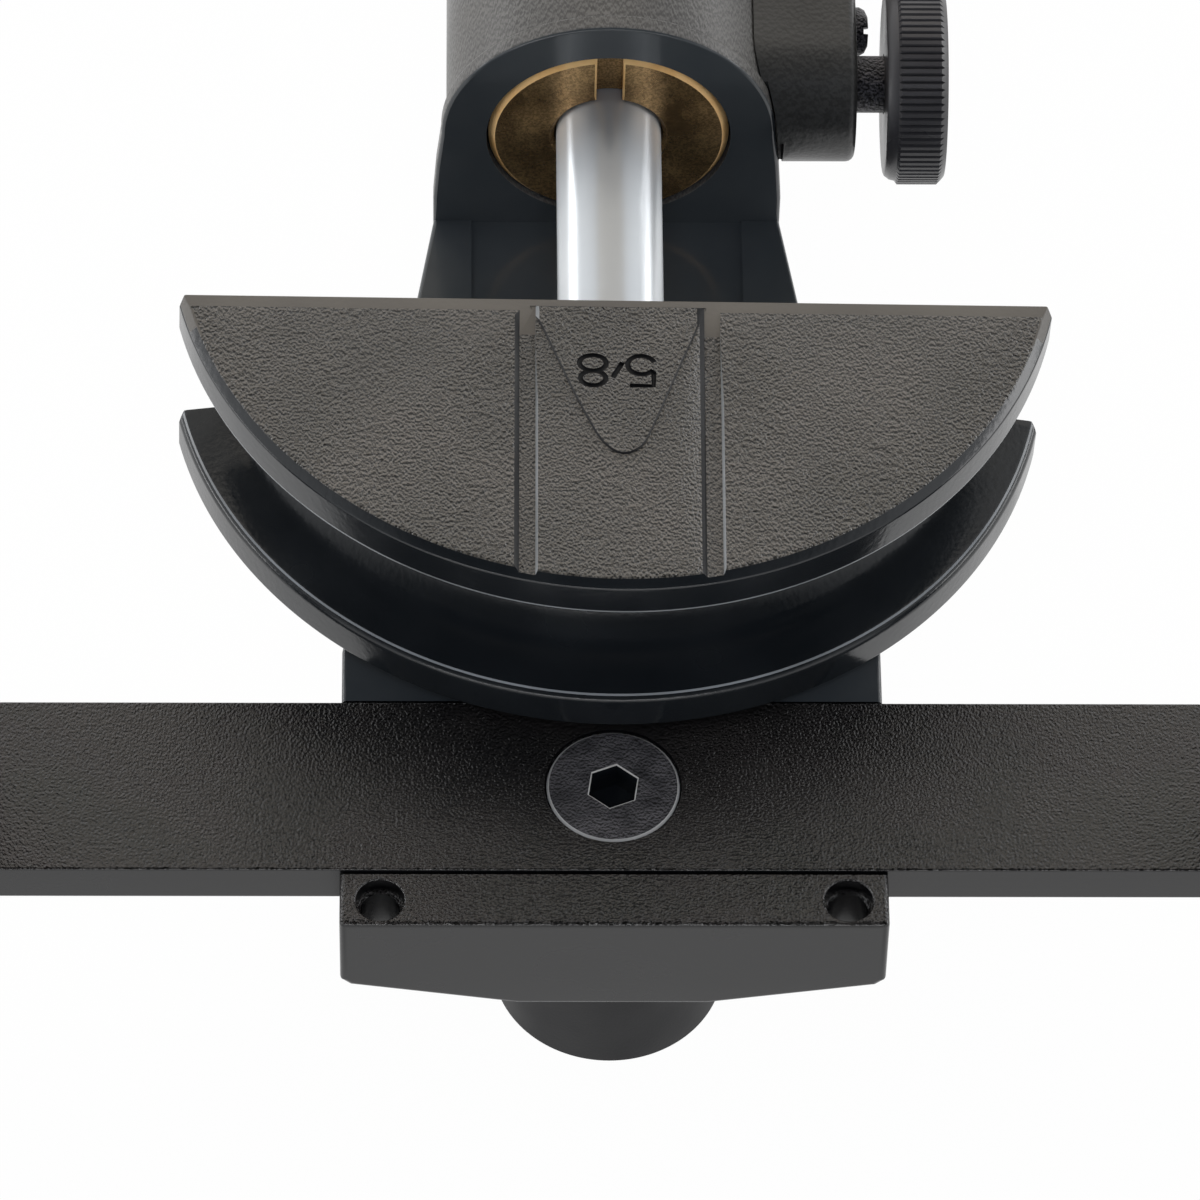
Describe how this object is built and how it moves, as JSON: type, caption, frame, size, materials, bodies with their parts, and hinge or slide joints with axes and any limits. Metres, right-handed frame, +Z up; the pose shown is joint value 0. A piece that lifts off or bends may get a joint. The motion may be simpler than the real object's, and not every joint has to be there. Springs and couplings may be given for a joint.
{
  "type": "hydraulic pipe bender",
  "caption": "Hand-pumped hydraulic bender: a ram pushes a half-round grooved former between rollers on a crossbar.",
  "frame": {"origin": "centre of the bench stub's bottom face, on the axis of the crossbar bolt", "axes": "+Z up, along the bench stub and the crossbar bolt; -Y is the way the ram comes out; X lies along the crossbar, with the release knob on +X"},
  "size_m": [0.32, 0.565, 0.18],
  "materials": {
    "gloss_paint": "gloss black paint",
    "textured_coating": "textured black powder coating",
    "satin_coating": "satin black coating",
    "hard_chrome": "ground hard chrome",
    "black_oxide": "black oxide steel",
    "bright_steel": "turned steel",
    "bearing_bronze": "turned bronze",
    "turned_brass": "turned brass",
    "seal_rubber": "matt black rubber",
    "grip_rubber": "ribbed black rubber",
    "knob_moulding": "black moulded plastic"
  },
  "bodies": {
    "frame": {"yoke_frame": "gloss_paint", "bench_stub": "satin_coating", "crossbar": "textured_coating", "crossbar_bolt": "black_oxide", "gland_bush": "bearing_bronze", "rod_seal": "seal_rubber", "cylinder_barrel": "gloss_paint", "pump_body": "gloss_paint", "foot_pad": "seal_rubber", "cover_screw_1": "black_oxide", "cover_screw_2": "black_oxide", "cover_screw_3": "black_oxide", "cover_screw_4": "black_oxide", "plunger_gland": "black_oxide", "plunger_seal": "seal_rubber", "suction_ball": "bright_steel", "suction_spring": "bright_steel", "suction_plug": "turned_brass", "delivery_ball": "bright_steel", "delivery_spring": "bright_steel", "delivery_plug": "turned_brass", "pivot_pin": "black_oxide", "reservoir_tube": "gloss_paint", "oil_bladder": "seal_rubber", "reservoir_cap": "satin_coating", "filler_plug": "turned_brass", "handle_grip": "grip_rubber", "valve_block": "gloss_paint", "release_ball": "bright_steel", "plug_screw": "black_oxide", "washer_left": "bright_steel", "washer_right": "bright_steel"},
    "ram": {"ram_rod": "hard_chrome", "nose_ring": "seal_rubber", "piston": "bright_steel", "piston_seal": "seal_rubber", "piston_nut": "bright_steel", "return_spring": "bright_steel"},
    "former": {"former": "textured_coating"},
    "release_valve": {"release_stem": "black_oxide", "stem_seal": "seal_rubber", "release_knob": "knob_moulding", "knob_cap": "black_oxide"},
    "lever": {"pump_lever": "gloss_paint", "lever_tube": "black_oxide", "lever_grip": "grip_rubber"},
    "plunger": {"pump_plunger": "hard_chrome", "link_pin": "bright_steel"},
    "roller_left": {"roller_left": "satin_coating", "roller_bush_left": "bearing_bronze"},
    "roller_right": {"roller_right": "satin_coating", "roller_bush_right": "bearing_bronze"},
    "pin_left": {"roller_pin_left": "bright_steel"},
    "pin_right": {"roller_pin_right": "bright_steel"}
  },
  "joints": [
    {"name": "ram_slide", "type": "slide", "parent": "frame", "child": "ram", "axis": [0, -1, 0], "range_m": [-0.038, 0.06], "deforming": ["return_spring"]},
    {"name": "former_pull_off", "type": "slide", "parent": "ram", "child": "former", "axis": [0, -1, 0], "range_m": [0, 0.026]},
    {"name": "release_turn", "type": "hinge", "parent": "frame", "child": "release_valve", "pos_m": [0.0468, 0.1171, 0.0672], "axis": [1, 0, 0], "range_deg": [0, 360]},
    {"name": "lever_swing", "type": "hinge", "parent": "frame", "child": "lever", "pos_m": [0, 0.3036, 0.1084], "axis": [1, 0, 0], "range_deg": [0, 30]},
    {"name": "plunger_slide", "type": "slide", "parent": "frame", "child": "plunger", "axis": [0, 0, 1], "range_m": [0, 0.0127]},
    {"name": "roller_left_spin", "type": "hinge", "parent": "frame", "child": "roller_left", "pos_m": [-0.116, 0, 0.0672], "axis": [0, 0, 1], "continuous": true},
    {"name": "roller_right_spin", "type": "hinge", "parent": "frame", "child": "roller_right", "pos_m": [0.116, 0, 0.0672], "axis": [0, 0, 1], "continuous": true},
    {"name": "pin_left_lift", "type": "slide", "parent": "frame", "child": "pin_left", "axis": [0, 0, 1], "range_m": [0, 0.055]},
    {"name": "pin_right_lift", "type": "slide", "parent": "frame", "child": "pin_right", "axis": [0, 0, 1], "range_m": [0, 0.055]}
  ],
  "couplings": [
    {"joint": "plunger_slide", "follows": "lever_swing", "m_per_rad": 0.024259}
  ]
}
